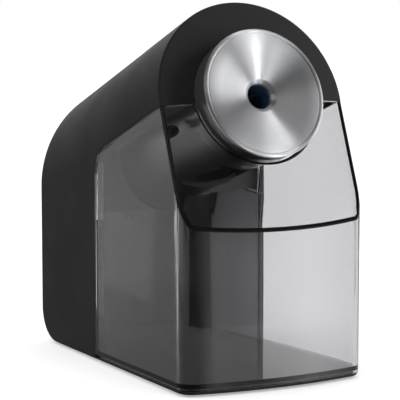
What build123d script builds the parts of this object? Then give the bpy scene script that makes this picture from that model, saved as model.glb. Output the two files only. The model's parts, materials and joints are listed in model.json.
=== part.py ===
from build123d import *
import os
from math import atan, cos, degrees, pi, radians, sin, tan

os.makedirs("parts", exist_ok=True)

# ---------------------------------------------------------------- driving dimensions (mm, degrees)
# +X is the user's right, -Y is the front, +Z is up; the origin is the middle of the footprint.
width = 84.0              # across the housing
depth = 140.0             # front corner line to back face
front_bow = 5.0           # how far the upright front bulges between its corners
face_bow = 3.8            # the bin's slanted panel bulges a little less
corner_r = 7.0            # upright front corners
slope = 20.0              # fall of the arch, the barrel and the hood's face
knee_z = 63.5             # height where the hood's face would meet the upright front
panel_knee_z = 67.0       # height where the bin's slanted panel meets it at the corners
hood_drop = 1.2           # hood's lower edge below the barrel's axis, down the face
axis_z = 114.3            # height of the barrel's axis where it leaves the slanted face
ground_gap = 0.8          # housing above the table; the feet fill it
back_r = 15.0             # round between the floor and the back
wall = 2.2                # housing wall
hood_edge_r = 0.8         # round along the hood's front edge
back_edge_r = 2.0         # round along the arch at the back
seam_depth = 81.0         # front corner line to the upright seam between bin and housing
seam_r = 15.6             # round at the top of that seam
gap = 0.3                 # shadow gap round the bin
lip_z = 2.2               # top of the lip below the bin
bin_wall = 2.0
bin_floor = 1.8
bin_back_space = 13.4     # room between the bin and the back face
tongue_z = 61.5           # top of the bin's hidden rear part
barrel_r = 26.4
barrel_wall = 2.4
barrel_back = -78.0       # along the axis from the slanted face, positive towards the user
barrel_front = 9.0
disc_r = 26.8
disc_front = 10.3
dish = 3.5                # how deep the disc's cone is
hole_r = 5.3              # hole in the disc
sink_r = 6.9              # countersink round that hole
guide_bore = 4.2
gear_module = 0.7
drive_teeth = 36
motor_teeth = 10
cutter_module = 1.0
ring_teeth = 36
planet_teeth = 12
cutter_tilt = 9.0
cutter_r = 8.0
cutter_flutes = 12
shaft_r = 2.0
running = 0.05            # radial clearance of a running fit
screw_r = 1.2
foot_r = 6.0

# ---------------------------------------------------------------- derived places
front_y = -(depth - front_bow) / 2
back_y = front_y + depth
seam_y = front_y + seam_depth
bin_back = back_y - bin_back_space
floor_z = ground_gap + wall
nose_y = front_y + (axis_z - knee_z) * tan(radians(slope))
panel_slope = degrees(atan((nose_y - front_y) / (axis_z - panel_knee_z)))
big = 2 * depth
motor_offset = gear_module * (drive_teeth + motor_teeth) / 2
cutter_offset = cutter_module * (ring_teeth - planet_teeth) / 2

# Plane of the slanted face: local z is the barrel's axis, local y climbs the face.
nose = Plane(
    origin=(0, nose_y, axis_z),
    x_dir=(1, 0, 0),
    z_dir=(0, -cos(radians(slope)), sin(radians(slope))),
)


def on_face(along, up):
    """Y and Z of a point given along the barrel's axis and up the slanted face."""
    turn = radians(slope)
    return (nose_y - along * cos(turn) + up * sin(turn), axis_z + along * sin(turn) + up * cos(turn))


# ---------------------------------------------------------------- shared shapes
def plan_outline(inset, low):
    """The footprint: straight sides, a bowed front and rounded front corners."""
    half = width / 2 - inset
    front = front_y + inset
    back = back_y - inset
    with BuildSketch(Plane.XY.offset(low)) as outline:
        with BuildLine():
            ThreePointArc((-half, front), (0, front - front_bow), (half, front))
            Polyline((half, front), (half, back), (-half, back), (-half, front))
        make_face()
        fillet(outline.vertices().group_by(Axis.Y)[0], corner_r - inset)
    return outline.sketch


def arch_outline(radius):
    """The section across the barrel's axis: a half circle on straight sides."""
    with BuildSketch(nose) as outline:
        Circle(radius)
        with Locations((0, -depth / 2)):
            Rectangle(2 * radius, depth)
    return outline.sketch


def side_outline(inset, bulge, tilt, knee):
    """The side view: slanted face, flat back, round bottom edge at the back."""
    lean = tan(radians(tilt))
    low = ground_gap + inset
    back = back_y - inset
    face_y = front_y + (inset - bulge) / cos(radians(tilt))
    ahead = front_y - corner_r
    with BuildSketch(Plane.YZ) as outline:
        with BuildLine():
            Polyline(
                (ahead, low),
                (ahead, knee + (ahead - face_y) / lean),
                (face_y + (big - knee) * lean, big),
                (back, big),
                (back, low),
                close=True,
            )
        make_face()
        corner = outline.vertices().group_by(Axis.Y)[0].sort_by(Axis.X)[-1]
        fillet(corner, back_r - inset)
    return outline.sketch


def bulged_face(inset, bulge):
    """The section across the slanted panel: its front edge is an arc that stands bulge proud."""
    half = width / 2
    tilt = radians(panel_slope)
    across = Plane(origin=nose.origin, x_dir=nose.x_dir, z_dir=(0, sin(tilt), cos(tilt)))
    with BuildSketch(across) as outline:
        with BuildLine():
            ThreePointArc((-half, inset), (0, inset - bulge), (half, inset))
            Polyline((half, inset), (half, big), (-half, big), (-half, inset))
        make_face()
    return outline.sketch


def envelope(inset, bulge=0.0):
    """The closed outer form, shrunk by inset, with the hood's flat face or the bin's bulged panel."""
    tilt, knee = (panel_slope, panel_knee_z) if bulge else (slope, knee_z)
    side = side_outline(inset, bulge, tilt, knee)
    with BuildPart() as form:
        extrude(plan_outline(inset, ground_gap + inset), amount=big)
        extrude(side, amount=width, both=True, mode=Mode.INTERSECT)
        if bulge:
            extrude(bulged_face(inset, bulge), amount=big, both=True, mode=Mode.INTERSECT)
        extrude(arch_outline(width / 2 - inset), amount=big, both=True, mode=Mode.INTERSECT)
    return form.part


def bin_zone(clear, low):
    """Side view of the space that the bin fills in front of the seam and under the hood."""
    seam = seam_y - clear
    drop = clear + hood_drop
    ahead = front_y - corner_r
    corner_y = nose_y - drop * sin(radians(slope))
    seam_end = on_face((corner_y - seam) / cos(radians(slope)), -drop)
    front_end = on_face((corner_y - ahead) / cos(radians(slope)), -drop)
    with BuildSketch(Plane.YZ) as zone:
        with BuildLine():
            Polyline(
                (ahead, low),
                front_end,
                seam_end,
                (seam, low),
                close=True,
            )
        make_face()
        top = zone.vertices().group_by(Axis.X)[-1].sort_by(Axis.Y)[-1]
        fillet(top, seam_r - clear)
    return zone.sketch


def cover_outline(inset):
    """The back cover's form: the arch prism shrunk by inset, above the round bottom edge."""
    with BuildPart() as form:
        extrude(arch_outline(width / 2 - inset), amount=big, both=True)
        with Locations((0, back_y - wall / 2, back_r + inset)):
            Box(
                width, wall, big,
                align=(Align.CENTER, Align.CENTER, Align.MIN), mode=Mode.INTERSECT,
            )
    return form.part


def footprint_slab(inset, low, high, back):
    """A flat piece of the footprint between two heights, from the front to the plane y = back."""
    with BuildPart() as piece:
        extrude(plan_outline(inset, low), amount=high - low)
        with Locations((0, back, 0)):
            Box(
                width, depth, big,
                align=(Align.CENTER, Align.MAX, Align.CENTER), mode=Mode.INTERSECT,
            )
    return piece.part


def bin_cavity():
    """The inside of the bin in front of the seam."""
    with BuildPart() as inside:
        add(envelope(bin_wall, face_bow))
        with Locations((0, seam_y - gap - bin_wall, floor_z + 0.2 + bin_floor)):
            Box(
                width, depth, big,
                align=(Align.CENTER, Align.MAX, Align.MIN), mode=Mode.INTERSECT,
            )
    return inside.part


def tube(back, front, outer, inner=0.0, plane=nose):
    """A round piece on the axis of a plane, from back to front."""
    with BuildPart() as piece:
        with BuildSketch(plane.offset(back)):
            Circle(outer)
            if inner:
                Circle(inner, mode=Mode.SUBTRACT)
        extrude(amount=front - back)
    return piece.part


def tooth(module, radius, height_in, height_out, slack):
    """One straight-sided tooth or space, 20 degrees a side, on a pitch radius along local X."""
    side = tan(radians(20))
    half = pi * module / 4 - slack
    with BuildSketch() as shape:
        with BuildLine():
            Polyline(
                (radius - height_in, -half - height_in * side),
                (radius - height_in, half + height_in * side),
                (radius + height_out, half - height_out * side),
                (radius + height_out, -half + height_out * side),
                close=True,
            )
        make_face()
    return shape.sketch


def spur_gear(plane, teeth, module, thickness, bore, first):
    """A spur gear with one tooth at the angle first."""
    radius = teeth * module / 2
    with BuildPart() as gear:
        with BuildSketch(plane):
            Circle(radius - 0.95 * module)
            with PolarLocations(0, teeth, start_angle=first):
                add(tooth(module, radius, 1.1 * module, 0.75 * module, 0.14 * module))
            Circle(bore, mode=Mode.SUBTRACT)
        extrude(amount=thickness)
    return gear.part


def screws(plane, places, length, head_r=2.6, head=1.6):
    """Pan-head screws: heads stand on the plane's +Z side, shanks go down."""
    with BuildPart() as group:
        with BuildSketch(plane):
            with Locations(*places):
                Circle(head_r)
        extrude(amount=head)
        fillet(group.edges().filter_by(GeomType.CIRCLE).group_by(SortBy.RADIUS)[-1], 0.3)
        with BuildSketch(plane):
            with Locations(*places):
                Circle(screw_r)
        extrude(amount=-length)
        with BuildSketch(plane.offset(head)):
            with Locations(*places):
                Rectangle(head_r * 1.3, 0.6)
                Rectangle(0.6, head_r * 1.3)
        extrude(amount=-0.8, mode=Mode.SUBTRACT)
    return group.part


with BuildPart() as outer:
    add(envelope(0))
    slanted = outer.faces().filter_by(lambda f: f.normal_at().dot(nose.z_dir) > 0.99)[0]
    fillet(slanted.edges().filter_by(lambda e: e.center().Z > axis_z), hood_edge_r)
    at_back = outer.edges().filter_by_position(Axis.Y, back_y - 0.01, back_y + 0.01)
    fillet(at_back.filter_by(lambda e: e.center().Z > 2 * back_r), back_edge_r)
outer_form = outer.part
inner_form = envelope(wall)

# ---------------------------------------------------------------- places of screws and feet
lug_places = [(-31.0, 10.0), (31.0, 10.0)]
motor_screw_places = [(-10.0, motor_offset), (10.0, motor_offset)]
cover_places = [(-31.0, 25.0), (31.0, 25.0), (-29.0, 84.0), (29.0, 84.0)]
foot_places = [
    (-30.0, front_y + 14), (30.0, front_y + 14), (-30.0, back_y - 28), (30.0, back_y - 28),
]
gland_z = 34.0
gland_r = 5.0
lug_front = -6.0
lug_back = -9.0
# stations along the barrel's axis, from the user's end to the back
plate_front, plate_back = -3.0, -6.0
hub_back = -11.0
guide_back = -11.0
carrier_front = -7.0
ring_front, ring_back = -12.5, -18.0
cutter_front, cutter_back = -4.0, -27.0          # along the tilted cutter, from the planet gear
cutter_shaft_front, cutter_shaft_back = 7.4, -39.5
shaving_window = (-50.0, -16.0)
carrier_disc_front, carrier_disc_back = -50.0, -57.0
gear_plate_front, gear_plate_back = -59.0, -61.5
gear_back, gear_t = -71.0, 5.0
boss_r = 3.2
boss_front = bin_back + 2.6
back_plane = Plane(origin=(0, back_y, 0), x_dir=(-1, 0, 0), z_dir=(0, 1, 0))

# ---------------------------------------------------------------- main shell: hood, column and floor
with BuildPart() as main_shell:
    add(outer_form)
    add(inner_form, mode=Mode.SUBTRACT)
    extrude(bin_zone(0, lip_z), amount=width, both=True, mode=Mode.SUBTRACT)
    # raised platform that the bin's skirt runs round
    add(footprint_slab(bin_wall + gap, lip_z - 0.5, floor_z, seam_y + wall))
    add(tube(-4 * wall, wall, barrel_r + running), mode=Mode.SUBTRACT)
    add(cover_outline(wall + 1.0), mode=Mode.SUBTRACT)
    # bosses behind the hood's face for the barrel's lugs
    with BuildSketch(nose.offset(-wall + 0.5)):
        with Locations(*lug_places):
            Circle(boss_r)
    extrude(amount=lug_front + wall - 0.5)
    # bosses for the back cover, each tied to the side wall by a rib
    with BuildSketch(back_plane.offset(-wall)):
        with Locations(*cover_places):
            Circle(boss_r)
        for x, z in cover_places:
            side = 1 if x > 0 else -1
            with Locations((side * (abs(x) + width / 2) / 2, z)):
                Rectangle(width / 2 - abs(x), 2.0)
    extrude(amount=-(back_y - wall - boss_front))
    add(outer_form, mode=Mode.INTERSECT)
    with BuildSketch(back_plane.offset(-wall)):
        with Locations(*cover_places):
            Circle(screw_r)
    extrude(amount=-(back_y - wall - boss_front), mode=Mode.SUBTRACT)
    with BuildSketch(nose.offset(lug_front)):
        with Locations(*lug_places):
            Circle(screw_r)
    extrude(amount=2.6, mode=Mode.SUBTRACT)
    # seats for the feet
    with BuildSketch(Plane.XY.offset(ground_gap)):
        with Locations(*foot_places):
            Circle(foot_r)
    extrude(amount=0.7, mode=Mode.SUBTRACT)
main_shell.part.label = "main_shell"
export_step(main_shell.part, "parts/main_shell.step")

# ---------------------------------------------------------------- back cover
vent_rows = 6
with BuildPart() as back_cover:
    add(cover_outline(wall + 1.15))
    with BuildSketch(back_plane):
        with Locations(*cover_places):
            Circle(screw_r + 0.3)
        with Locations((0, gland_z)):
            Circle(gland_r)
        with Locations((0, 78.0)):
            with GridLocations(1, 5.0, 1, vent_rows):
                SlotOverall(34.0, 2.2)
    extrude(amount=-wall, mode=Mode.SUBTRACT)
    with BuildSketch(back_plane):
        with Locations(*cover_places):
            Circle(3.0)
    extrude(amount=-1.2, mode=Mode.SUBTRACT)
back_cover.part.label = "back_cover"
export_step(back_cover.part, "parts/back_cover.step")

with BuildPart() as cover_screws:
    add(screws(back_plane.offset(-1.2), cover_places, 7.0, 2.6, 1.1))
cover_screws.part.label = "cover_screws"
export_step(cover_screws.part, "parts/cover_screws.step")

with BuildPart() as rubber_feet:
    with BuildSketch(Plane.XY):
        with Locations(*foot_places):
            Circle(foot_r)
    extrude(amount=ground_gap + 0.7)
    fillet(rubber_feet.edges().group_by(Axis.Z)[0], 0.4)
rubber_feet.part.label = "rubber_feet"
export_step(rubber_feet.part, "parts/rubber_feet.step")

# ---------------------------------------------------------------- motor deck: roof over the bin, wall behind it
deck_t = 2.0
partition_t = 1.6
interlock_z = 56.0
plunger_r = 1.5
deck_drop_y = seam_y + 3.0
deck_z = 64.0
with BuildPart() as motor_deck:
    with BuildSketch(Plane.YZ) as deck_profile:
        with BuildLine():
            start = on_face(-wall - gap, 0.4)
            turn = on_face((nose_y - deck_drop_y) / cos(radians(slope)), 0.4)
            Polyline(start, turn, (deck_drop_y, deck_z), (back_y - wall - gap, deck_z))
            offset(amount=deck_t, side=Side.LEFT, kind=Kind.INTERSECTION)
        make_face()
    extrude(amount=width / 2, both=True)
    with Locations((0, bin_back + gap, floor_z + gap)):
        Box(
            width, partition_t, deck_z + deck_t / 2 - floor_z - gap,
            align=(Align.CENTER, Align.MIN, Align.MIN),
        )
    with BuildSketch(Plane(origin=(0, bin_back, interlock_z), z_dir=(0, 1, 0))):
        Circle(plunger_r + gap)
    extrude(amount=2 * partition_t, mode=Mode.SUBTRACT)
    add(envelope(wall + 0.15), mode=Mode.INTERSECT)
    add(tube(barrel_back - 30, wall, barrel_r + gap), mode=Mode.SUBTRACT)
motor_deck.part.label = "motor_deck"
export_step(motor_deck.part, "parts/motor_deck.step")

# ---------------------------------------------------------------- shavings bin, clear
bin_low = lip_z + 0.15
tongue_half = width / 2 - wall - 0.5
with BuildPart() as shavings_bin:
    add(envelope(0, face_bow))
    extrude(bin_zone(gap, bin_low), amount=width, both=True, mode=Mode.INTERSECT)
    # hidden rear part inside the column
    with Locations((0, seam_y - 4, bin_low)):
        Box(
            2 * tongue_half, bin_back - seam_y + 4, tongue_z - bin_low,
            align=(Align.CENTER, Align.MIN, Align.MIN),
        )
    # the inside
    add(bin_cavity(), mode=Mode.SUBTRACT)
    with Locations((0, seam_y - 10, floor_z + 0.2 + bin_floor)):
        Box(
            2 * (tongue_half - bin_wall), bin_back - bin_wall - seam_y + 10, big,
            align=(Align.CENTER, Align.MIN, Align.MIN), mode=Mode.SUBTRACT,
        )
    # underside, raised over the platform
    add(footprint_slab(bin_wall, 0, floor_z + 0.2, seam_y - 4.2), mode=Mode.SUBTRACT)
    with Locations((0, seam_y - 5, 0)):
        Box(
            width, depth, floor_z + 0.2,
            align=(Align.CENTER, Align.MIN, Align.MIN), mode=Mode.SUBTRACT,
        )
    # notch in the slanted panel for the barrel
    with BuildSketch(nose.offset(-3 * bin_wall)):
        Circle(barrel_r + 0.6)
        with Locations((0, 10)):
            Rectangle(2 * barrel_r + 1.2, 20)
    extrude(amount=8 * bin_wall, mode=Mode.SUBTRACT)
shavings_bin.part.label = "shavings_bin"
export_step(shavings_bin.part, "parts/shavings_bin.step")

# ---------------------------------------------------------------- barrel sleeve and face
motor_boss_r = 4.5
rear_bush_r = 6.5
barrel_bore = barrel_r - barrel_wall
with BuildPart() as barrel_sleeve:
    add(tube(barrel_back, barrel_front, barrel_r))
    with BuildSketch(nose.offset(lug_back)):
        with Locations((0, lug_places[0][1])):
            Rectangle(2 * lug_places[1][0] + 2 * boss_r, 8.0)
    extrude(amount=lug_front - lug_back)
    add(tube(barrel_back + barrel_wall, barrel_front + 1, barrel_bore), mode=Mode.SUBTRACT)
    with BuildSketch(nose.offset(barrel_back)):
        Circle(rear_bush_r)
        with Locations((0, motor_offset)):
            Circle(motor_boss_r)
        with Locations(*motor_screw_places):
            Circle(screw_r + 0.2)
    extrude(amount=barrel_wall, mode=Mode.SUBTRACT)
    with BuildSketch(nose.offset(lug_back)):
        with Locations(*lug_places):
            Circle(screw_r + 0.2)
    extrude(amount=lug_front - lug_back, mode=Mode.SUBTRACT)
    # window in the underside that lets the shavings fall
    with BuildSketch(nose.offset(shaving_window[0])):
        with Locations((0, -barrel_r)):
            Rectangle(24.0, 16.0)
    extrude(amount=shaving_window[1] - shaving_window[0], mode=Mode.SUBTRACT)
barrel_sleeve.part.label = "barrel_sleeve"
export_step(barrel_sleeve.part, "parts/barrel_sleeve.step")

with BuildPart() as barrel_screws:
    add(screws(nose.offset(lug_back).rotated((0, 180, 0)), lug_places, 5.0))
barrel_screws.part.label = "barrel_screws"
export_step(barrel_screws.part, "parts/barrel_screws.step")

# Dished aluminium disc, turned about the barrel's axis; local X is the radius, local Y the axis.
turning = Plane(origin=nose.origin, x_dir=(1, 0, 0), z_dir=-nose.y_dir)
rim_r = disc_r - 1.3
disc_sheet = 1.8
sink = 1.5
hub_face = disc_front - dish - 3.2
with BuildPart() as face_disc:
    with BuildSketch(turning):
        with BuildLine():
            Polyline(
                (hole_r, disc_front - dish - sink),
                (sink_r, disc_front - dish),
                (rim_r, disc_front),
                (disc_r - 0.7, disc_front),
                (disc_r, disc_front - 0.7),
                (disc_r, barrel_front),
                (barrel_bore - 0.1, barrel_front),
                (barrel_bore - 0.1, barrel_front - 1.2),
                (sink_r + 4, disc_front - dish - disc_sheet),
                (sink_r + 1, hub_face),
                (hole_r, hub_face),
                close=True,
            )
        make_face()
    revolve(axis=Axis(nose.origin, nose.z_dir))
face_disc.part.label = "face_disc"
export_step(face_disc.part, "parts/face_disc.step")

guide_r = 5.8
mouth_r = 5.1
with BuildPart() as pencil_guide:
    with BuildSketch(turning):
        with BuildLine():
            Polyline(
                (guide_bore, guide_back),
                (guide_bore, 0),
                (mouth_r, hub_face - running),
                (guide_r, hub_face - running),
                (guide_r, guide_back),
                close=True,
            )
        make_face()
    revolve(axis=Axis(nose.origin, nose.z_dir))
pencil_guide.part.label = "pencil_guide"
export_step(pencil_guide.part, "parts/pencil_guide.step")

# ---------------------------------------------------------------- fixed mechanism inside the barrel
hub_r = 7.5
with BuildPart() as front_plate:
    add(tube(plate_back, plate_front, barrel_bore - 0.02, guide_r + running))
    add(tube(hub_back, plate_back, hub_r, guide_r + running))
    with BuildSketch(nose.offset(plate_back)):
        with PolarLocations(16.5, 6, start_angle=30):
            Circle(3.4)
    extrude(amount=plate_front - plate_back, mode=Mode.SUBTRACT)
front_plate.part.label = "front_plate"
export_step(front_plate.part, "parts/front_plate.step")

ring_radius = cutter_module * ring_teeth / 2
with BuildPart() as ring_gear:
    with BuildSketch(nose.offset(ring_back)):
        Circle(barrel_bore - 0.02)
        Circle(ring_radius - 0.75 * cutter_module, mode=Mode.SUBTRACT)
        with PolarLocations(0, ring_teeth, start_angle=90):
            add(
                tooth(cutter_module, ring_radius, cutter_module, 1.15 * cutter_module, -0.14).mirror(),
                mode=Mode.SUBTRACT,
            )
    extrude(amount=ring_front - ring_back)
ring_gear.part.label = "ring_gear"
export_step(ring_gear.part, "parts/ring_gear.step")

with BuildPart() as gear_plate:
    add(tube(gear_plate_back, gear_plate_front, barrel_bore - 0.02, rear_bush_r))
    with BuildSketch(nose.offset(gear_plate_back)):
        with Locations((0, motor_offset)):
            Circle(3.0)
        with PolarLocations(18.0, 3, start_angle=210):
            Circle(2.6)
    extrude(amount=gear_plate_front - gear_plate_back, mode=Mode.SUBTRACT)
gear_plate.part.label = "gear_plate"
export_step(gear_plate.part, "parts/gear_plate.step")

main_shaft_r = 4.0
with BuildPart() as rear_bushes:
    add(tube(gear_plate_back, gear_plate_front, rear_bush_r, main_shaft_r + running))
    add(tube(barrel_back, barrel_back + barrel_wall, rear_bush_r, main_shaft_r + running))
rear_bushes.part.label = "rear_bushes"
export_step(rear_bushes.part, "parts/rear_bushes.step")

# ---------------------------------------------------------------- turning carrier and its cutter
bush_r = 9.0
with BuildPart() as carrier_bush:
    add(tube(hub_back + 0.3, plate_back - 0.3, bush_r, hub_r + running))
carrier_bush.part.label = "carrier_bush"
export_step(carrier_bush.part, "parts/carrier_bush.step")

# Plane of the tilted cutter: it crosses the planet gear's middle, above the barrel's axis.
ring_middle = (ring_front + ring_back) / 2
cutter_middle = nose.from_local_coords((0, cutter_offset, ring_middle))
cutter_plane = Plane(origin=cutter_middle, x_dir=nose.x_dir, z_dir=nose.z_dir)
cutter_plane = cutter_plane.rotated((-cutter_tilt, 0, 0))
carrier_ring_r = ring_radius - 1.2
with BuildPart() as cutter_carrier:
    add(tube(carrier_front - 3.6, carrier_front, carrier_ring_r, bush_r))
    add(tube(carrier_disc_back, carrier_disc_front, 19.0))
    for side in (-1, 1):
        with BuildSketch(nose.offset(carrier_disc_back)):
            with Locations((side * 13.6, 0)):
                Rectangle(3.6, 9.0)
        extrude(amount=carrier_front - carrier_disc_back)
    add(tube(barrel_back + 0.3, carrier_disc_back, main_shaft_r))
    add(
        tube(cutter_shaft_back - 0.4, cutter_shaft_front + 5, shaft_r + running, plane=cutter_plane),
        mode=Mode.SUBTRACT,
    )
cutter_carrier.part.label = "cutter_carrier"
export_step(cutter_carrier.part, "parts/cutter_carrier.step")

with BuildPart() as cutter_shaft:
    add(tube(cutter_shaft_back, cutter_shaft_front, shaft_r, plane=cutter_plane))
    chamfer(cutter_shaft.edges().filter_by(GeomType.CIRCLE), 0.3)
cutter_shaft.part.label = "cutter_shaft"
export_step(cutter_shaft.part, "parts/cutter_shaft.step")

# Helical cutter: the fluted section turns a little from each station to the next.
flute_depth = 0.9
twist_step = 12.0
stations = 5
with BuildPart() as helical_cutter:
    for station in range(stations):
        reach = cutter_back + (cutter_front - cutter_back) * station / (stations - 1)
        with BuildSketch(cutter_plane.offset(reach)):
            points = []
            for flute in range(cutter_flutes):
                angle = 360 * flute / cutter_flutes + twist_step * station
                points.append(Vector(cutter_r, 0).rotate(Axis.Z, angle))
                points.append(Vector(cutter_r - flute_depth, 0).rotate(Axis.Z, angle + 6))
            Polygon(*points, align=None)
    loft(ruled=True)
    with BuildSketch(cutter_plane.offset(cutter_back)):
        Circle(shaft_r)
    extrude(amount=cutter_front - cutter_back, mode=Mode.SUBTRACT)
helical_cutter.part.label = "helical_cutter"
export_step(helical_cutter.part, "parts/helical_cutter.step")

planet_t = 4.6
with BuildPart() as planet_pinion:
    planet_plane = cutter_plane.offset(-planet_t / 2)
    add(spur_gear(planet_plane, planet_teeth, cutter_module, planet_t, shaft_r, 90))
planet_pinion.part.label = "planet_pinion"
export_step(planet_pinion.part, "parts/planet_pinion.step")

# ---------------------------------------------------------------- drive gear and motor
with BuildPart() as drive_gear:
    add(spur_gear(nose.offset(gear_back), drive_teeth, gear_module, gear_t, main_shaft_r, 90))
drive_gear.part.label = "drive_gear"
export_step(drive_gear.part, "parts/drive_gear.step")

motor_plane = Plane(
    origin=nose.from_local_coords((0, motor_offset, 0)), x_dir=nose.x_dir, z_dir=nose.z_dir,
)
motor_shaft_r = 1.6
with BuildPart() as motor_pinion:
    first = 270 + 180 / motor_teeth
    add(spur_gear(motor_plane.offset(gear_back), motor_teeth, gear_module, gear_t, motor_shaft_r, first))
motor_pinion.part.label = "motor_pinion"
export_step(motor_pinion.part, "parts/motor_pinion.step")

with BuildPart() as motor_shaft:
    add(tube(barrel_back - 3, gear_back + gear_t + 0.5, motor_shaft_r, plane=motor_plane))
motor_shaft.part.label = "motor_shaft"
export_step(motor_shaft.part, "parts/motor_shaft.step")

motor_r = 15.0
motor_front = barrel_back - 0.1
motor_back = motor_front - 30.0
with BuildPart() as motor_can:
    add(tube(motor_back, motor_front, motor_r, plane=motor_plane))
    fillet(motor_can.edges().filter_by(GeomType.CIRCLE).sort_by(Axis.Y)[0], 1.5)
    add(tube(motor_front, barrel_back + 1.6, motor_boss_r - running, plane=motor_plane))
    add(
        tube(barrel_back - 3.4, barrel_back + 2, motor_shaft_r + running, plane=motor_plane),
        mode=Mode.SUBTRACT,
    )
    with BuildSketch(nose.offset(motor_front)):
        with Locations(*motor_screw_places):
            Circle(screw_r)
    extrude(amount=-4.5, mode=Mode.SUBTRACT)
motor_can.part.label = "motor_can"
export_step(motor_can.part, "parts/motor_can.step")

with BuildPart() as motor_end_cap:
    add(tube(motor_back - 3.0, motor_back, motor_r - 0.6, plane=motor_plane))
    add(tube(motor_back - 5.0, motor_back - 3.0, 5.0, plane=motor_plane))
    with BuildSketch(motor_plane.offset(motor_back - 3.0)):
        with GridLocations(18.0, 1, 2, 1):
            Rectangle(0.8, 4.5)
    extrude(amount=-3.0)
motor_end_cap.part.label = "motor_end_cap"
export_step(motor_end_cap.part, "parts/motor_end_cap.step")

with BuildPart() as motor_screws:
    add(screws(nose.offset(barrel_back + barrel_wall), motor_screw_places, 6.0, 2.4, 1.4))
motor_screws.part.label = "motor_screws"
export_step(motor_screws.part, "parts/motor_screws.step")

# Overheat cut-out held on the motor's top by a strap round the can.
with BuildPart() as thermal_cutout:
    with BuildSketch(motor_plane.offset(motor_front - 18.0)):
        Circle(motor_r + 0.9)
        Circle(motor_r, mode=Mode.SUBTRACT)
    extrude(amount=8.0)
    with BuildSketch(motor_plane.offset(motor_front - 17.0)):
        with Locations((0, motor_r + 1.6)):
            Rectangle(9.0, 2.8)
        Circle(motor_r, mode=Mode.SUBTRACT)
    extrude(amount=6.0)
thermal_cutout.part.label = "thermal_cutout"
export_step(thermal_cutout.part, "parts/thermal_cutout.step")

# ---------------------------------------------------------------- switches, terminals and cord inlet
switch_front = barrel_back - 2.6
button_r = 1.0
with BuildPart() as start_switch:
    with BuildSketch(nose.offset(switch_front - 6.4)):
        with Locations((0, -4.4)):
            Rectangle(20.0, 10.4)
    extrude(amount=6.4)
    for side in (-1, 1):
        with BuildSketch(nose.offset(switch_front)):
            with Locations((side * 8.6, -7.0)):
                Rectangle(2.6, 4.6)
        extrude(amount=barrel_back - switch_front)
    with BuildSketch(nose.offset(switch_front)):
        Circle(button_r + running)
    extrude(amount=-4.0, mode=Mode.SUBTRACT)
start_switch.part.label = "start_switch"
export_step(start_switch.part, "parts/start_switch.step")

with BuildPart() as start_button:
    add(tube(switch_front - 2.4, barrel_back + 0.1, button_r))
start_button.part.label = "start_button"
export_step(start_button.part, "parts/start_button.step")

interlock_front = back_y - wall - 7.6
with BuildPart() as interlock_switch:
    with Locations((0, interlock_front, interlock_z)):
        Box(20.0, 6.4, 10.4, align=(Align.CENTER, Align.MIN, Align.CENTER))
    with Locations((0, interlock_front + 6.4, interlock_z)):
        Box(12.0, 1.2, 6.0, align=(Align.CENTER, Align.MIN, Align.CENTER))
    with BuildSketch(Plane(origin=(0, interlock_front, interlock_z), z_dir=(0, 1, 0))):
        Circle(plunger_r + running)
    extrude(amount=5.0, mode=Mode.SUBTRACT)
interlock_switch.part.label = "interlock_switch"
export_step(interlock_switch.part, "parts/interlock_switch.step")

with BuildPart() as interlock_plunger:
    with BuildSketch(Plane(origin=(0, bin_back + 0.15, interlock_z), z_dir=(0, 1, 0))):
        Circle(plunger_r)
    extrude(amount=interlock_front - bin_back + 2.6)
    fillet(interlock_plunger.edges().filter_by(GeomType.CIRCLE).sort_by(Axis.Y)[0], 0.8)
interlock_plunger.part.label = "interlock_plunger"
export_step(interlock_plunger.part, "parts/interlock_plunger.step")

gland_bore = 3.2
gland_flange = 7.5
with BuildPart() as cord_gland:
    with BuildSketch(back_plane.offset(-0.2)):
        with Locations((0, gland_z)):
            Circle(gland_r)
    extrude(amount=-(wall - 0.2))
    with BuildSketch(back_plane.offset(-wall)):
        with Locations((0, gland_z)):
            Circle(gland_flange)
    extrude(amount=-1.8)
    with BuildSketch(back_plane):
        with Locations((0, gland_z)):
            Circle(gland_bore)
    extrude(amount=-wall - 1.8, mode=Mode.SUBTRACT)
cord_gland.part.label = "cord_gland"
export_step(cord_gland.part, "parts/cord_gland.step")

with BuildPart() as terminal_block:
    with Locations((20.0, back_y - wall, gland_z)):
        Box(9.0, 7.0, 20.0, align=(Align.CENTER, Align.MAX, Align.CENTER))
    with BuildSketch(back_plane.offset(-wall - 7.0)):
        with Locations((-20.0, gland_z)):
            with GridLocations(1, 6.0, 1, 3):
                Circle(1.6)
    extrude(amount=1.2, mode=Mode.SUBTRACT)
terminal_block.part.label = "terminal_block"
export_step(terminal_block.part, "parts/terminal_block.step")
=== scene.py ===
import json
from math import pi, radians, tau

import bmesh
import bpy
from bpy.props import FloatProperty, FloatVectorProperty, IntProperty, PointerProperty
from bpy.types import Operator, Panel, PropertyGroup
from mathutils import Matrix, Vector


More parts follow.
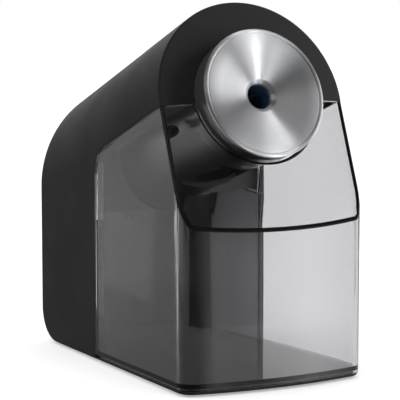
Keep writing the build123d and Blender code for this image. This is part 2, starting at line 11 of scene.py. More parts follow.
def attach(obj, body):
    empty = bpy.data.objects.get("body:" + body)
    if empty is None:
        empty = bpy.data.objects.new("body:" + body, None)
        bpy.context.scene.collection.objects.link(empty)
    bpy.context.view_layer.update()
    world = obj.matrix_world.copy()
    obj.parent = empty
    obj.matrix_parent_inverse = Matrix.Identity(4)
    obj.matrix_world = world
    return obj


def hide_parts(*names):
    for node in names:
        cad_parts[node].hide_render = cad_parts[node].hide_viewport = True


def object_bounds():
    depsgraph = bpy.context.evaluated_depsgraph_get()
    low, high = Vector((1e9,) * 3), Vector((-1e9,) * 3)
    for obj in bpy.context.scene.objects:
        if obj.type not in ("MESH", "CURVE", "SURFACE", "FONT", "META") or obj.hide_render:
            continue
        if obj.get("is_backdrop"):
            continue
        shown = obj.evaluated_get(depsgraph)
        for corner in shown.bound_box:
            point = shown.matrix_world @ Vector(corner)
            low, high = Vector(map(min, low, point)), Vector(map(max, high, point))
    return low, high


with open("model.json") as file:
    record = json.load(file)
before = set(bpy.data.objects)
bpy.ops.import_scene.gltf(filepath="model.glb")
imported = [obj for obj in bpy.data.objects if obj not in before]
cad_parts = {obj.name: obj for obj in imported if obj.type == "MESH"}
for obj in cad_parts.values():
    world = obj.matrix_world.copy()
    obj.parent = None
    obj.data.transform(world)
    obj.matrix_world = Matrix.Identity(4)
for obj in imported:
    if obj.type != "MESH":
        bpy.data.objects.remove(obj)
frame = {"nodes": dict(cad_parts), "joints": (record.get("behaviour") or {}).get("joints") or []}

bl_info = {
    "name": "Desktop Pencil Sharpener",
    "version": (1, 0, 0),
    "blender": (4, 5, 0),
    "location": "3D Viewport > Sidebar > Sharpener",
    "description": "Finishes, turned face, clear bin and studio for an electric pencil sharpener",
    "category": "Add Mesh",
}

CAD_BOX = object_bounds()
MM = 0.001

# The barrel's axis, read from the joint that the cutter carrier turns on.
SPIN = next(j for j in frame["joints"] if j["name"] == "carrier_spin")
AXIS = Vector(SPIN["axis"]).normalized()
AXIS_POINT = Vector(SPIN["pos_m"])
AXIS_TILT = Vector((0.0, -1.0, 0.0)).angle(AXIS)
AXIS_TURN = Vector((0, 0, 1)).rotation_difference(AXIS).to_matrix().to_4x4()
AXIS_FRAME = Matrix.Translation(AXIS_POINT) @ AXIS_TURN

# The room inside the shell that shows through the clear bin; its faces get a lighter colour there
# as painted light.
INSIDE_HALF_WIDTH = 40.0 * MM
INSIDE_BACK = 58.0 * MM
INSIDE_FLOOR = 5.0 * MM
INSIDE_TOP = 62.0 * MM
# Painted light: a lighter grey than the housing, given to the shell's inner faces in place of light
# reaching them through the clear bin.
INSIDE_PAINTED_LIGHT = (0.085, 0.085, 0.087)

# How far apart two points may lie and still be one, in meshes turned here and in CAD meshes.
TURNED_WELD = 1e-7
CAD_WELD = 2e-6

WHITE = (1.0, 1.0, 1.0, 1.0)


def along_axis(point):
    """How far a point lies along the barrel's axis, from the joint towards the user."""
    return (Vector(point) - AXIS_POINT).dot(AXIS)


def from_axis(point):
    """How far a point lies from the barrel's axis."""
    reach = Vector(point) - AXIS_POINT
    return (reach - AXIS * reach.dot(AXIS)).length


def turned_size(node):
    """Back and front along the barrel's axis and the outer radius of a turned CAD node."""
    points = [v.co for v in frame["nodes"][node].data.vertices]
    stations = [along_axis(p) for p in points]
    return min(stations), max(stations), max(from_axis(p) for p in points)


DISC_BACK, DISC_FRONT, DISC_RADIUS = turned_size("face_disc")
SEAT = turned_size("barrel_sleeve")[1]

# The bin's panel leans less than this from the barrel's axis; its notch lies inside this radius.
PANEL_LEAN = radians(17)
NOTCH_REACH = 1.08 * DISC_RADIUS


# ------------------------------------------------------------------ settings
class SharpenerSizes(PropertyGroup):
    dish_depth: FloatProperty(
        name="Dish depth", description="How deep the cone of the metal face is",
        default=3.5 * MM, min=1 * MM, max=6 * MM, unit="LENGTH")
    hole_radius: FloatProperty(
        name="Hole radius", description="Radius of the hole in the metal face",
        default=5.3 * MM, min=5 * MM, max=9 * MM, unit="LENGTH")
    sink_radius: FloatProperty(
        name="Countersink radius", description="Outer radius of the countersink round the hole",
        default=6.9 * MM, min=5.5 * MM, max=10 * MM, unit="LENGTH")
    rim_width: FloatProperty(
        name="Rim width", description="Width of the raised rim round the metal face",
        default=1.25 * MM, min=0.6 * MM, max=3 * MM, unit="LENGTH")
    face_steps: IntProperty(
        name="Face steps", description="Steps round the turned metal face",
        default=180, min=48, max=360)
    bin_edge: FloatProperty(
        name="Bin edge", description="Round along the edges of the clear bin",
        default=0.3 * MM, min=0.05 * MM, max=0.8 * MM, unit="LENGTH")
    # Painted shade: this band stands in for the dark edge-on view through the clear plastic.
    painted_edge_shade: FloatProperty(
        name="Edge line", description="Width of the black line round the bin's sloping panel",
        default=1.8 * MM, min=0.4 * MM, max=3 * MM, unit="LENGTH")


class SharpenerFinishes(PropertyGroup):
    housing: FloatVectorProperty(
        name="Housing", description="Colour of the moulded housing",
        default=(0.0088, 0.0088, 0.009), subtype="COLOR", size=3, min=0, max=1)
    barrel: FloatVectorProperty(
        name="Barrel", description="Colour of the barrel behind the metal face",
        default=(0.010, 0.010, 0.0105), subtype="COLOR", size=3, min=0, max=1)
    metal_face: FloatVectorProperty(
        name="Metal face", description="Colour of the brushed aluminium face",
        default=(0.66, 0.665, 0.68), subtype="COLOR", size=3, min=0, max=1)
    guide: FloatVectorProperty(
        name="Pencil guide", description="Colour of the ring that guides the pencil",
        default=(0.008, 0.016, 0.036), subtype="COLOR", size=3, min=0, max=1)
    smoke: FloatVectorProperty(
        name="Smoke tint", description="Light that the clear plastic lets through",
        default=(0.80, 0.80, 0.81), subtype="COLOR", size=3, min=0, max=1)
    smoke_density: FloatProperty(
        name="Smoke density",
        description="How strongly the clear plastic darkens with depth, per metre",
        default=610.0, min=0, max=2000)


class StudioSettings(PropertyGroup):
    lens: FloatProperty(
        name="Lens", description="Focal length of the camera", default=151.0, min=20, max=300,
        subtype="DISTANCE_CAMERA")
    turn: FloatProperty(
        name="Camera turn", description="How far the camera looks round from the front",
        default=radians(-28.286), subtype="ANGLE", unit="ROTATION")
    tilt: FloatProperty(
        name="Camera tilt", description="How far the camera looks down",
        default=radians(6.191), subtype="ANGLE", unit="ROTATION")
    place: FloatVectorProperty(
        name="Camera place", description="Where the camera stands",
        default=(-0.33924, -0.63424, 0.14724), subtype="TRANSLATION", unit="LENGTH", size=3)
    sky: FloatProperty(
        name="Sky", description="Strength of the white surround", default=1.0, min=0, max=5)
    mirrored_left: FloatProperty(
        name="Mirrored back, left",
        description="Strength of the surround behind on the left in reflections",
        default=0.22, min=0, max=5)
    mirrored_right: FloatProperty(
        name="Mirrored back, right",
        description="Strength of the surround behind on the right in reflections",
        default=1.05, min=0, max=5)
    mirrored_low: FloatProperty(
        name="Mirrored front, low",
        description="Strength of the surround low in front in reflections",
        default=0.7, min=0, max=5)
    mirrored_high: FloatProperty(
        name="Mirrored front, high",
        description="Strength of the surround high in front in reflections",
        default=0.05, min=0, max=5)
    band_left: FloatProperty(
        name="Left band", description="Soft light mirrored near the left of the bin's front",
        default=0.35, min=0, max=5)
    band_right: FloatProperty(
        name="Right band", description="Soft light mirrored near the right of the bin's front",
        default=1.3, min=0, max=5)
    floor_glow: FloatProperty(
        name="Floor glow", description="Light that the floor gives of itself, as a lit table does",
        default=0.35, min=0, max=5)


# ------------------------------------------------------------------ shader helpers
class Shader:
    """A node tree with short calls to add and join nodes."""

    def __init__(self, tree):
        self.tree = tree

    def node(self, kind, **values):
        made = self.tree.nodes.new(kind)
        for key, value in values.items():
            setattr(made, key, value)
        return made

    def join(self, source, target):
        self.tree.links.new(source, target)

    def math(self, operation, first, second):
        """A Math node; each term is a socket or a number."""
        made = self.node("ShaderNodeMath", operation=operation)
        for socket, term in zip(made.inputs, (first, second)):
            if isinstance(term, (int, float)):
                socket.default_value = term
            else:
                self.join(term, socket)
        return made.outputs[0]

    def span(self, value, low, high, start=0.0, end=1.0):
        """Maps value from start..end to low..high; each bound is a socket or a number."""
        made = self.node("ShaderNodeMapRange")
        self.join(value, made.inputs["Value"])
        bounds = {"From Min": start, "From Max": end, "To Min": low, "To Max": high}
        for name, term in bounds.items():
            if isinstance(term, (int, float)):
                made.inputs[name].default_value = term
            else:
                self.join(term, made.inputs[name])
        return made.outputs["Result"]

    def band(self, value, middle, reach, height):
        """A soft bump of a height about a middle value, gone at a reach to each side."""
        away = self.math("ABSOLUTE", self.math("SUBTRACT", value, middle), 0.0)
        return self.span(away, height, 0.0, 0.0, reach)

    def noise(self, vector, scale, detail=2.0, roughness=0.5):
        made = self.node("ShaderNodeTexNoise")
        self.join(vector, made.inputs["Vector"])
        if isinstance(scale, (int, float)):
            made.inputs["Scale"].default_value = scale
        else:
            self.join(scale, made.inputs["Scale"])
        made.inputs["Detail"].default_value = detail
        made.inputs["Roughness"].default_value = roughness
        return made.outputs["Fac"]

    def blend(self, factor, first, second):
        """A colour between two colours; each is a socket or a tuple."""
        made = self.node("ShaderNodeMix", data_type="RGBA")
        self.join(factor, made.inputs["Factor"])
        for socket, term in ((made.inputs[6], first), (made.inputs[7], second)):
            if isinstance(term, bpy.types.NodeSocket):
                self.join(term, socket)
            else:
                socket.default_value = (*term, 1.0)
        return made.outputs[2]


def group_with(name, inputs, outputs):
    """An empty node group with its sockets, and its inner input and output nodes."""
    tree = bpy.data.node_groups.new(name, "ShaderNodeTree")
    for label, kind, value in inputs:
        socket = tree.interface.new_socket(name=label, in_out="INPUT", socket_type=kind)
        if value is not None:
            socket.default_value = value
    for label, kind in outputs:
        tree.interface.new_socket(name=label, in_out="OUTPUT", socket_type=kind)
    return Shader(tree), tree.nodes.new("NodeGroupInput"), tree.nodes.new("NodeGroupOutput")


SHADE_OUTPUTS = [("Color", "NodeSocketColor"), ("Roughness", "NodeSocketFloat"),
                 ("Height", "NodeSocketFloat")]


def moulded_grain():
    """Fine spark-eroded mould texture with slow shade changes and rubbed patches."""
    name = "moulded grain"
    if name in bpy.data.node_groups:
        return bpy.data.node_groups[name]
    work, inner, out = group_with(
        name,
        [("Vector", "NodeSocketVector", None), ("Base", "NodeSocketColor", (0.02, 0.02, 0.02, 1)),
         ("Rubbed", "NodeSocketColor", (0.03, 0.03, 0.03, 1)), ("Grain", "NodeSocketFloat", 2200.0),
         ("Patch", "NodeSocketFloat", 28.0), ("Smooth", "NodeSocketFloat", 0.4),
         ("Rough", "NodeSocketFloat", 0.6)],
        SHADE_OUTPUTS,
    )
    grain = work.noise(inner.outputs["Vector"], inner.outputs["Grain"], 3.0, 0.6)
    patch = work.noise(inner.outputs["Vector"], inner.outputs["Patch"], 4.0, 0.55)
    shade = work.math("ADD", work.math("MULTIPLY", grain, 0.45), work.math("MULTIPLY", patch, 0.55))
    work.join(work.blend(work.span(shade, 0.0, 1.0, 0.35, 0.65), inner.outputs["Base"],
                         inner.outputs["Rubbed"]), out.inputs["Color"])
    work.join(work.span(patch, inner.outputs["Smooth"], inner.outputs["Rough"], 0.35, 0.65),
              out.inputs["Roughness"])
    work.join(grain, out.inputs["Height"])
    return work.tree


def ground_metal():
    """Fine grinding lines with a few deeper ones, along the flat directions of the vector."""
    name = "ground metal"
    if name in bpy.data.node_groups:
        return bpy.data.node_groups[name]
    work, inner, out = group_with(
        name,
        [("Vector", "NodeSocketVector", None), ("Dark", "NodeSocketColor", (0.3, 0.3, 0.3, 1)),
         ("Light", "NodeSocketColor", (0.6, 0.6, 0.6, 1)), ("Lines", "NodeSocketFloat", 1.0),
         ("Smooth", "NodeSocketFloat", 0.25), ("Rough", "NodeSocketFloat", 0.4)],
        SHADE_OUTPUTS,
    )
    fine = work.noise(inner.outputs["Vector"], inner.outputs["Lines"], 6.0, 0.7)
    wide = work.math("MULTIPLY", inner.outputs["Lines"], 0.23)
    deep = work.noise(inner.outputs["Vector"], wide, 2.0)
    lines = work.math("ADD", work.math("MULTIPLY", fine, 0.65), work.math("MULTIPLY", deep, 0.35))
    work.join(work.blend(work.span(lines, 0.0, 1.0, 0.3, 0.7), inner.outputs["Dark"],
                         inner.outputs["Light"]), out.inputs["Color"])
    work.join(work.span(lines, inner.outputs["Rough"], inner.outputs["Smooth"], 0.3, 0.7),
              out.inputs["Roughness"])
    work.join(lines, out.inputs["Height"])
    return work.tree


def new_material(name):
    """A node material with its shader, its output and Object coordinates."""
    material = bpy.data.materials.new(name)
    material.use_nodes = True
    work = Shader(material.node_tree)
    surface = material.node_tree.nodes["Principled BSDF"]
    place = work.node("ShaderNodeTexCoord").outputs["Object"]
    return material, work, surface, place


def shade_group(work, tree, vector, **values):
    """Places a shared group and sets its named inputs."""
    made = work.node("ShaderNodeGroup")
    made.node_tree = tree
    work.join(vector, made.inputs["Vector"])
    for label, value in values.items():
        made.inputs[label].default_value = (*value, 1.0) if isinstance(value, tuple) else value
    return made


def feed(work, surface, made, distance, strength=1.0):
    """Joins a group's colour, roughness and height to the shader."""
    work.join(made.outputs["Color"], surface.inputs["Base Color"])
    work.join(made.outputs["Roughness"], surface.inputs["Roughness"])
    bump = work.node("ShaderNodeBump")
    bump.inputs["Distance"].default_value = distance
    bump.inputs["Strength"].default_value = strength
    work.join(made.outputs["Height"], bump.inputs["Height"])
    work.join(bump.outputs["Normal"], surface.inputs["Normal"])


def plastic(name, colour, rubbed, smooth, rough, grain=2200.0, bump=0.02, specular=0.35):
    """A moulded plastic or rubber."""
    material, work, surface, place = new_material(name)
    made = shade_group(work, moulded_grain(), place, Base=tuple(colour), Rubbed=tuple(rubbed),
                       Grain=grain, Smooth=smooth, Rough=rough)
    feed(work, surface, made, bump * MM)
    surface.inputs["Specular IOR Level"].default_value = specular
    return material


def paint_light_inside(material):
    """Paints light on the faces inside the shell: a lighter colour, found from the object's
    coordinates, stands in for light reaching them through the clear bin.
    """
    work = Shader(material.node_tree)
    surface = material.node_tree.nodes["Principled BSDF"]
    outside = surface.inputs["Base Color"].links[0].from_socket
    apart = work.node("ShaderNodeSeparateXYZ")
    work.join(work.node("ShaderNodeTexCoord").outputs["Object"], apart.inputs["Vector"])
    aside = work.math("ABSOLUTE", apart.outputs["X"], 0.0)
    within = work.math("LESS_THAN", aside, INSIDE_HALF_WIDTH)
    below = work.math("LESS_THAN", apart.outputs["Z"], INSIDE_TOP)
    above = work.math("GREATER_THAN", apart.outputs["Z"], INSIDE_FLOOR)
    before = work.math("LESS_THAN", apart.outputs["Y"], INSIDE_BACK)
    inside = work.math("MULTIPLY", work.math("MULTIPLY", within, before),
                       work.math("MULTIPLY", above, below))
    # Painted light: the inner faces take the lighter grey instead of the housing colour.
    work.join(work.blend(inside, outside, INSIDE_PAINTED_LIGHT), surface.inputs["Base Color"])


def metal(name, dark, light, stretch, smooth, rough, bump=0.01):
    """A ground, drawn or plated metal; stretch gives the lines per metre along each axis."""
    material, work, surface, place = new_material(name)
    mapping = work.node("ShaderNodeMapping")
    mapping.inputs["Scale"].default_value = stretch
    mapping.inputs["Rotation"].default_value = (AXIS_TILT, 0.0, 0.0)
    work.join(place, mapping.inputs["Vector"])
    made = shade_group(work, ground_metal(), mapping.outputs["Vector"], Dark=dark, Light=light,
                       Smooth=smooth, Rough=rough)
    feed(work, surface, made, bump * MM)
    surface.inputs["Metallic"].default_value = 1.0
    return material


def turned_aluminium(colour):
    """Aluminium brushed in circles about the barrel's axis."""
    drift, lines = 45.0, 5200.0  # noise cells per metre across the face and out along its radius
    material, work, surface, place = new_material("brushed_aluminium")
    lathe = AXIS_FRAME.inverted()
    mapping = work.node("ShaderNodeMapping", vector_type="POINT")
    mapping.inputs["Location"].default_value = lathe.to_translation()
    mapping.inputs["Rotation"].default_value = lathe.to_euler()
    work.join(place, mapping.inputs["Vector"])
    split = work.node("ShaderNodeSeparateXYZ")
    work.join(mapping.outputs["Vector"], split.inputs[0])
    across = work.math("MULTIPLY", split.outputs["X"], split.outputs["X"])
    up = work.math("MULTIPLY", split.outputs["Y"], split.outputs["Y"])
    radius = work.math("POWER", work.math("ADD", across, up), 0.5)
    rings = work.node("ShaderNodeCombineXYZ")
    work.join(work.math("MULTIPLY", split.outputs["X"], drift), rings.inputs["X"])
    work.join(work.math("MULTIPLY", split.outputs["Y"], drift), rings.inputs["Y"])
    work.join(work.math("MULTIPLY", radius, lines), rings.inputs["Z"])
    dark = tuple(c * 0.90 for c in colour)
    made = shade_group(work, ground_metal(), rings.outputs["Vector"], Dark=dark,
                       Light=tuple(colour), Lines=1.0, Smooth=0.30, Rough=0.38)
    feed(work, surface, made, 0.0025 * MM)
    surface.inputs["Metallic"].default_value = 1.0
    surface.inputs["Anisotropic"].default_value = 0.94
    surface.inputs["Anisotropic Rotation"].default_value = 0.25
    tangent = work.node("ShaderNodeTangent", direction_type="UV_MAP", uv_map="turning")
    work.join(tangent.outputs["Tangent"], surface.inputs["Tangent"])
    return material


def smoke_plastic(tint, density):
    """Clear smoke-tinted plastic that darkens where it is looked at edge on."""
    material, work, surface, place = new_material("clear_smoke")
    haze_scale, wave_scale, wave_height = 900.0, 22.0, 0.03 * MM
    surface.inputs["Base Color"].default_value = WHITE
    surface.inputs["Transmission Weight"].default_value = 1.0
    surface.inputs["IOR"].default_value = 1.49
    haze = work.noise(place, haze_scale, 3.0)
    work.join(work.span(haze, 0.015, 0.05), surface.inputs["Roughness"])
    bump = work.node("ShaderNodeBump")
    bump.inputs["Distance"].default_value = wave_height
    work.join(work.noise(place, wave_scale, 2.0), bump.inputs["Height"])
    work.join(bump.outputs["Normal"], surface.inputs["Normal"])
    lamps = work.node("ShaderNodeBsdfTransparent")
    lamps.inputs["Color"].default_value = (0.97, 0.97, 0.97, 1.0)
    share = work.node("ShaderNodeMixShader")
    path = work.node("ShaderNodeLightPath")
    work.join(path.outputs["Is Shadow Ray"], share.inputs["Fac"])
    work.join(surface.outputs["BSDF"], share.inputs[1])
    work.join(lamps.outputs["BSDF"], share.inputs[2])
    depth = work.node("ShaderNodeVolumeAbsorption")
    depth.inputs["Color"].default_value = (*tint, 1.0)
    depth.inputs["Density"].default_value = density
    end = material.node_tree.nodes["Material Output"]
    work.join(share.outputs["Shader"], end.inputs["Surface"])
    work.join(depth.outputs["Volume"], end.inputs["Volume"])
    return material


# ------------------------------------------------------------------ mesh helpers
def settle(name, work, material, body, nodes, sharp=radians(32)):
    """Ends a bmesh as a named piece that rides on a body and stands for CAD nodes."""
    mesh = bpy.data.meshes.new(name)
    work.to_mesh(mesh)
    work.free()
    mesh.polygons.foreach_set("use_smooth", [True] * len(mesh.polygons))
    mesh.set_sharp_from_angle(angle=sharp)
    mesh.materials.append(material)
    piece = bpy.data.objects.new(name, mesh)
    bpy.context.scene.collection.objects.link(piece)
    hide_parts(*nodes)
    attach(piece, body)
    return piece


def turned(profile, steps):
    """A ring turned about local Z from a closed profile of (radius, height), with UVs round it."""
    work = bmesh.new()
    corners = [work.verts.new((radius, 0.0, height)) for radius, height in profile]
    edges = [work.edges.new((a, b)) for a, b in zip(corners, corners[1:] + corners[:1])]
    bmesh.ops.spin(work, geom=corners + edges, cent=(0, 0, 0), axis=(0, 0, 1), angle=tau,
                   steps=steps, use_merge=True)
    bmesh.ops.remove_doubles(work, verts=work.verts, dist=TURNED_WELD)
    bmesh.ops.recalc_face_normals(work, faces=work.faces)
    layer = work.loops.layers.uv.new("turning")
    for face in work.faces:
        middle = face.calc_center_median()
        here = middle.xy.angle_signed(Vector((1, 0)))
        for loop in face.loops:
            place = loop.vert.co
            turn = place.xy.angle_signed(Vector((1, 0)))
            turn = here + (turn - here + pi) % tau - pi
            loop[layer].uv = (turn / tau, Vector((place.x, place.y)).length / DISC_RADIUS)
    return work


def on_panel_edge(edge):
    """True for an outer edge of the bin's sloping panel, at an upright wall or at the notch; these
    edges get a painted dark shade band.
    """
    square, side_on = 0.1, 0.2  # how far a normal may lean and still count
    if len(edge.link_faces) != 2:
        return False
    panel, other = sorted(edge.link_faces, key=lambda face: face.normal.angle(AXIS))
    upright = abs(other.normal.z) < square and other.normal.y < side_on
    notch = (abs(other.normal.dot(AXIS)) < square
             and from_axis(other.calc_center_median()) < NOTCH_REACH)
    return panel.normal.angle(AXIS) < PANEL_LEAN and (upright or notch)


def dress(material, *nodes):
    """Gives CAD nodes a finish."""
    for name in nodes:
        held = frame["nodes"][name]
        if not held.material_slots:
            held.data.materials.append(material)
        for slot in held.material_slots:
            slot.material = material


# ------------------------------------------------------------------ operators
class SHARPENER_OT_housing(Operator):
    """Finish the housing, its back cover, deck and feet, with painted light on the deck and on the
    shell's inner faces
    """
    bl_idname = "sharpener.housing"
    bl_label = "Housing"

    def execute(self, context):
        colour = context.scene.sharpener_finishes.housing
        rubbed = [c * 1.35 for c in colour]
        look = {"smooth": 0.46, "rough": 0.56, "bump": 0.03, "specular": 0.2}
        shell = plastic("shell_plastic_and_painted_light", colour, rubbed, **look)
        # Painted light on the shell's inner faces, which are the same plastic as the outside.
        paint_light_inside(shell)
        dress(shell, "main_shell")
        dress(plastic("housing_plastic", colour, rubbed, **look), "back_cover")
        # Painted light: the deck gets a lighter grey than the housing, standing in for light
        # reaching it through the clear bin.
        dress(plastic("inner_wall_painted_light", (0.080, 0.080, 0.082), (0.10, 0.10, 0.10),
                      smooth=0.5, rough=0.6),
              "motor_deck")
        dress(plastic("foot_rubber", (0.02, 0.02, 0.02), (0.035, 0.034, 0.033),
                      smooth=0.75, rough=0.9, grain=900.0),
              "rubber_feet", "cord_gland")
        return {"FINISHED"}


class SHARPENER_OT_barrel(Operator):
    """Finish the barrel and the ring that guides the pencil"""
    bl_idname = "sharpener.barrel"
    bl_label = "Barrel"

    def execute(self, context):
        finishes = context.scene.sharpener_finishes
        colour = finishes.barrel
        satin = plastic("barrel_plastic", colour, [c * 1.3 for c in colour],
                        smooth=0.30, rough=0.40, grain=1500.0, bump=0.012, specular=1.0)
        shader = satin.node_tree.nodes["Principled BSDF"]
        shader.inputs["Coat Weight"].default_value = 0.6
        shader.inputs["Coat Roughness"].default_value = 0.25
        dress(satin, "barrel_sleeve")
        guide = finishes.guide
        dress(plastic("guide_plastic", guide, [c * 1.5 for c in guide],
                      smooth=0.18, rough=0.28, grain=700.0, bump=0.006, specular=0.5),
              "pencil_guide", "start_button", "interlock_plunger")
        return {"FINISHED"}


class SHARPENER_OT_metal_face(Operator):
    """Build the dished aluminium face with its rim"""
    bl_idname = "sharpener.metal_face"
    bl_label = "Metal face"

    def execute(self, context):
        sizes = context.scene.sharpener_sizes
        front, outer, back = DISC_FRONT, DISC_RADIUS, DISC_BACK
        seat_radius = outer - 2.95 * MM
        rim = outer - 0.55 * MM - sizes.rim_width
        floor = front - 0.22 * MM  # of the groove inside the rim
        bottom = front - sizes.dish_depth
        hole, sink = sizes.hole_radius, sizes.sink_radius
        countersink = [
            (hole, bottom - 1.65 * MM), (hole + 0.12 * MM, bottom - 1.45 * MM),
            (sink - 0.12 * MM, bottom - 0.14 * MM), (sink + 0.02 * MM, bottom - 0.03 * MM),
            (sink + 0.25 * MM, bottom + 0.03 * MM),
        ]
        cone = [
            (sink + 5 * MM, bottom + 0.96 * MM), (rim - 5 * MM, front - 1.14 * MM),
            (rim - 0.30 * MM, front - 0.20 * MM), (rim - 0.08 * MM, front - 0.22 * MM),
        ]
        groove = [
            (rim, floor - 0.14 * MM), (rim + 0.12 * MM, floor - 0.10 * MM),
            (rim + 0.22 * MM, front - 0.08 * MM),
        ]
        edge = [
            (rim + 0.36 * MM, front), (outer - 0.72 * MM, front),
            (outer - 0.36 * MM, front - 0.05 * MM), (outer - 0.12 * MM, front - 0.20 * MM),
            (outer - 0.02 * MM, front - 0.42 * MM), (outer, front - 0.6 * MM),
        ]
        underside = [
            (outer, SEAT), (seat_radius, SEAT), (seat_radius, SEAT - 1.2 * MM),
            (sink + 4 * MM, back + 1.4 * MM), (sink + 1 * MM, back), (hole, back),
        ]
        profile = countersink + cone + groove + edge + underside
        work = turned(profile, sizes.face_steps)
        bmesh.ops.transform(work, matrix=AXIS_FRAME, verts=work.verts)
        colour = tuple(context.scene.sharpener_finishes.metal_face)
        settle("metal_face", work, turned_aluminium(colour), "housing",
               ["face_disc"])
        return {"FINISHED"}


class SHARPENER_OT_clear_bin(Operator):
    """Build the clear shavings bin with rounded edges, a painted dark shade band round its sloping
    panel and painted shade on its seam faces
    """
    bl_idname = "sharpener.clear_bin"
    bl_label = "Clear bin"

    def execute(self, context):
        finishes = context.scene.sharpener_finishes
        sizes = context.scene.sharpener_sizes
        side = 0.95 * CAD_BOX[1].x
        work = bmesh.new()
        work.from_mesh(frame["nodes"]["shavings_bin"].data)
        bmesh.ops.remove_doubles(work, verts=work.verts, dist=CAD_WELD)
        bmesh.ops.dissolve_limit(work, angle_limit=radians(0.5), verts=work.verts,
                                 edges=work.edges)
        # Painted shade: a black band along the panel's outer edges, in place of the dark edge-on
        # view through the clear plastic.
        painted_shade_edges = [edge for edge in work.edges if on_panel_edge(edge)]
        made = bmesh.ops.bevel(work, geom=painted_shade_edges, offset=sizes.painted_edge_shade, offset_type="WIDTH",
                               segments=3, profile=0.5, affect="EDGES", material=-1)
        for face in made["faces"]:
            face.material_index = 1
        # Painted shade: faces turned back towards the shell at the bin's sides take the near-black
        # material.
        for face in work.faces:
            painted_seam_shade = face.normal.y > 0.9 and abs(face.calc_center_median().x) > side
            if painted_seam_shade:
                face.material_index = 1
        clear = smoke_plastic(tuple(finishes.smoke), finishes.smoke_density)
        piece = settle("clear_bin", work, clear, "bin", ["shavings_bin"])
        # Painted shade: the near-black material of the panel's edge band and of the seam faces.
        piece.data.materials.append(
            plastic("painted_edge_shade", (0.003, 0.003, 0.003), (0.005, 0.005, 0.005),
                    smooth=0.16, rough=0.24, bump=0.004))
        bevel = piece.modifiers.new("edge", "BEVEL")
        bevel.width = sizes.bin_edge
        bevel.segments = 2
        bevel.limit_method = "ANGLE"
        bevel.angle_limit = radians(35)
        bevel.harden_normals = True
        return {"FINISHED"}


# Finishes of the mechanism: plastics and metals, each with the CAD nodes that take it.
MECHANISM_PLASTICS = (
    ("inner_plastic", (0.075, 0.075, 0.078), (0.10, 0.10, 0.10),
     {"smooth": 0.42, "rough": 0.55},
     ("front_plate", "gear_plate", "cutter_carrier", "motor_end_cap", "start_switch",
      "interlock_switch")),
    ("gear_plastic", (0.70, 0.68, 0.61), (0.80, 0.79, 0.73),
     {"smooth": 0.32, "rough": 0.45, "grain": 1200.0, "bump": 0.01},
     ("ring_gear", "drive_gear")),
    ("terminal_plastic", (0.68, 0.67, 0.61), (0.78, 0.77, 0.71),
     {"smooth": 0.4, "rough": 0.5},
     ("terminal_block",)),
)
MECHANISM_METALS = (
    ("steel", (0.42, 0.42, 0.43), (0.62, 0.62, 0.63),
     {"stretch": (900, 900, 4000), "smooth": 0.22, "rough": 0.36},
     ("cutter_shaft", "planet_pinion", "motor_pinion", "motor_shaft", "cover_screws",
      "motor_screws")),
    ("black_steel", (0.020, 0.020, 0.021), (0.035, 0.035, 0.036),
     {"stretch": (900, 900, 4000), "smooth": 0.4, "rough": 0.5},
     ("barrel_screws",)),
    ("tool_steel", (0.24, 0.24, 0.25), (0.46, 0.46, 0.47),
     {"stretch": (2600, 300, 2600), "smooth": 0.25, "rough": 0.42},
     ("helical_cutter",)),
    ("zinc_steel", (0.48, 0.49, 0.48), (0.66, 0.67, 0.64),
     {"stretch": (160, 160, 160), "smooth": 0.34, "rough": 0.5},
     ("motor_can", "thermal_cutout")),
    ("bronze", (0.42, 0.28, 0.14), (0.60, 0.43, 0.24),
     {"stretch": (1800, 1800, 1800), "smooth": 0.38, "rough": 0.55},
     ("rear_bushes", "carrier_bush")),
)


class SHARPENER_OT_mechanism(Operator):
    """Finish the cutter, gears, bearings, plates and screws"""
    bl_idname = "sharpener.mechanism"
    bl_label = "Mechanism"

    def execute(self, context):
        for make, finishes in ((plastic, MECHANISM_PLASTICS), (metal, MECHANISM_METALS)):
            for name, dark, light, look, nodes in finishes:
                dress(make(name, dark, light, **look), *nodes)
        return {"FINISHED"}


# ------------------------------------------------------------------ studio
# Lamps about the object's middle: name, direction, distance, size, watts, and what they light.
# A lamp that names nothing lights everything.
FACE, BARREL, SHELL = ("metal_face",), ("barrel_sleeve",), ("main_shell", "motor_deck")
LAMPS = (
    ("overhead", (0.41, -0.53, 0.74), 1.0, (0.05, 0.5), 0.50, FACE),
    ("front_strip", (0.47, -0.86, 0.17), 1.0, (0.05, 0.35), 0.66, FACE),
    ("side_strip", (0.27, -0.93, 0.25), 1.0, (0.06, 0.30), 0.42, FACE),
    ("face_side", (0.84, -0.50, 0.26), 0.8, (0.26, 0.4), 1.15, FACE),
    ("right", (0.86, -0.48, 0.24), 0.8, (0.5, 0.6), 4.6, SHELL + BARREL),
    ("barrel_side", (-0.75, -0.20, 0.55), 0.8, (0.4, 0.4), 9.0, BARREL),
    ("left", (-0.85, -0.1, 0.5), 1.1, (0.7, 0.7), 1.0, ()),
)

# A small lamp inside the bin, seen by nothing, that lights the shell's inner wall at this height.
INNER_LAMP = ("inner_fill", (-0.90, -0.40, 0.0), 0.055, (0.06, 0.05), 0.10)
INNER_WALL_Y, INNER_WALL_Z = 36 * MM, 34 * MM


def softbox(name, direction, distance, size, energy, target, only=()):
    """An area light in a direction from the target, facing it; it may light only some objects."""
    light = bpy.data.lights.new(name, "AREA")
    light.shape = "RECTANGLE"
    light.size, light.size_y = size
    light.energy = energy
    lamp = bpy.data.objects.new(name, light)
    lamp.location = target + Vector(direction).normalized() * distance
    lamp.rotation_euler = (target - lamp.location).to_track_quat("-Z", "Y").to_euler()
    bpy.context.scene.collection.objects.link(lamp)
    if only:
        lit = bpy.data.collections.new(name + "_lit")
        for node in only:
            lit.objects.link(frame["nodes"].get(node) or bpy.data.objects[node])
        lamp.light_linking.receiver_collection = lit
    return lamp


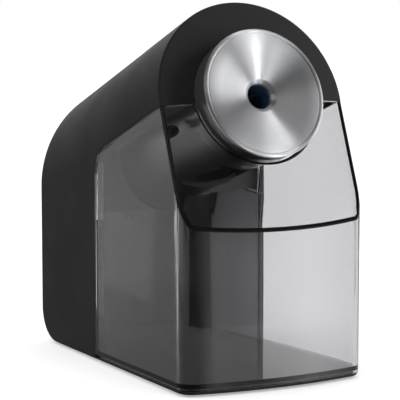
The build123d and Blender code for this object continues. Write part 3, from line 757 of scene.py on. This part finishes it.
def add_surround(scene, settings):
    """A white surround, with its own shape where it shows in reflections."""
    world = bpy.data.worlds.new("surround")
    world.use_nodes = True
    scene.world = world
    work = Shader(world.node_tree)
    path = work.node("ShaderNodeLightPath")
    sky = world.node_tree.nodes["Background"]
    sky.inputs["Color"].default_value = WHITE
    way = work.node("ShaderNodeSeparateXYZ")
    work.join(work.node("ShaderNodeTexCoord").outputs["Generated"], way.inputs[0])
    across, ahead, up = (way.outputs[axis] for axis in "XYZ")
    near = work.span(across, 0.12, settings.mirrored_low, 0.04, 0.15)
    near = work.math("ADD", near, work.band(across, 0.19, 0.09, settings.band_left))
    near = work.math("ADD", near, work.band(across, 0.65, 0.22, settings.band_right))
    front = work.span(up, near, settings.mirrored_high, -0.08, 0.12)
    level = work.span(across, settings.mirrored_left, settings.mirrored_right, -0.47, 0.19)
    back = work.span(up, settings.mirrored_high, level, -0.5, -0.15)
    mirrored = work.span(ahead, front, back, -0.3, 0.3)
    work.join(work.span(path.outputs["Is Glossy Ray"], settings.sky, mirrored),
              sky.inputs["Strength"])


def add_floor(scene, settings):
    """A wide pale floor that glows a little and does not show in reflections."""
    half_size = 6.0
    grid = bmesh.new()
    bmesh.ops.create_grid(grid, x_segments=1, y_segments=1, size=half_size)
    mesh = bpy.data.meshes.new("floor")
    grid.to_mesh(mesh)
    grid.free()
    floor = bpy.data.objects.new("floor", mesh)
    scene.collection.objects.link(floor)
    pale, work, surface, place = new_material("pale_floor")
    work.join(work.blend(work.noise(place, 3.0), (0.9, 0.9, 0.9), (0.93, 0.93, 0.93)),
              surface.inputs["Base Color"])
    surface.inputs["Roughness"].default_value = 0.9
    surface.inputs["Specular IOR Level"].default_value = 0.0
    surface.inputs["Emission Color"].default_value = WHITE
    surface.inputs["Emission Strength"].default_value = settings.floor_glow
    mesh.materials.append(pale)
    floor.visible_glossy = False
    floor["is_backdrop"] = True


def add_camera(scene, settings):
    """The camera, level from side to side, from its place, turn and tilt."""
    lens = bpy.data.cameras.new("camera")
    lens.lens = settings.lens
    lens.sensor_width = 36.0
    lens.clip_start = 0.01
    camera = bpy.data.objects.new("camera", lens)
    camera.location = settings.place
    camera.rotation_euler = (pi / 2 - settings.tilt, 0.0, settings.turn)
    scene.collection.objects.link(camera)
    scene.camera = camera


class SHARPENER_OT_studio(Operator):
    """Set up the pale floor, the white surround, the soft lights and the camera"""
    bl_idname = "sharpener.studio"
    bl_label = "Studio"

    def execute(self, context):
        scene = context.scene
        settings = scene.sharpener_studio
        low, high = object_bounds()
        add_surround(scene, settings)
        add_floor(scene, settings)
        for name, direction, distance, size, watts, lit in LAMPS:
            softbox(name, direction, distance, size, watts, (low + high) / 2, lit)
        inner_wall = Vector((high.x, INNER_WALL_Y, INNER_WALL_Z))
        inner = softbox(*INNER_LAMP, inner_wall, ("main_shell",))
        inner.visible_camera = inner.visible_glossy = inner.visible_transmission = False
        scene.view_settings.view_transform = "Standard"
        add_camera(scene, settings)
        return {"FINISHED"}


class SHARPENER_PT_panel(Panel):
    """Sizes, finishes and builders of the sharpener"""
    bl_label = "Pencil Sharpener"
    bl_idname = "SHARPENER_PT_panel"
    bl_space_type = "VIEW_3D"
    bl_region_type = "UI"
    bl_category = "Sharpener"

    def draw(self, context):
        for held in (context.scene.sharpener_sizes, context.scene.sharpener_finishes,
                     context.scene.sharpener_studio):
            box = self.layout.box()
            for key in held.__annotations__:
                box.prop(held, key)
        for maker in MAKERS:
            self.layout.operator(maker.bl_idname)


MAKERS = (SHARPENER_OT_housing, SHARPENER_OT_barrel, SHARPENER_OT_metal_face,
          SHARPENER_OT_clear_bin, SHARPENER_OT_mechanism, SHARPENER_OT_studio)
CLASSES = (SharpenerSizes, SharpenerFinishes, StudioSettings, *MAKERS, SHARPENER_PT_panel)
HOLDERS = {
    "sharpener_sizes": SharpenerSizes,
    "sharpener_finishes": SharpenerFinishes,
    "sharpener_studio": StudioSettings,
}


def register():
    for entry in CLASSES:
        bpy.utils.register_class(entry)
    for name, group in HOLDERS.items():
        setattr(bpy.types.Scene, name, PointerProperty(type=group))


def unregister():
    for name in HOLDERS:
        delattr(bpy.types.Scene, name)
    for entry in reversed(CLASSES):
        bpy.utils.unregister_class(entry)


def main():
    register()
    bpy.ops.sharpener.housing()
    bpy.ops.sharpener.barrel()
    bpy.ops.sharpener.metal_face()
    bpy.ops.sharpener.clear_bin()
    bpy.ops.sharpener.mechanism()
    bpy.ops.sharpener.studio()


if __name__ == "__main__":
    main()
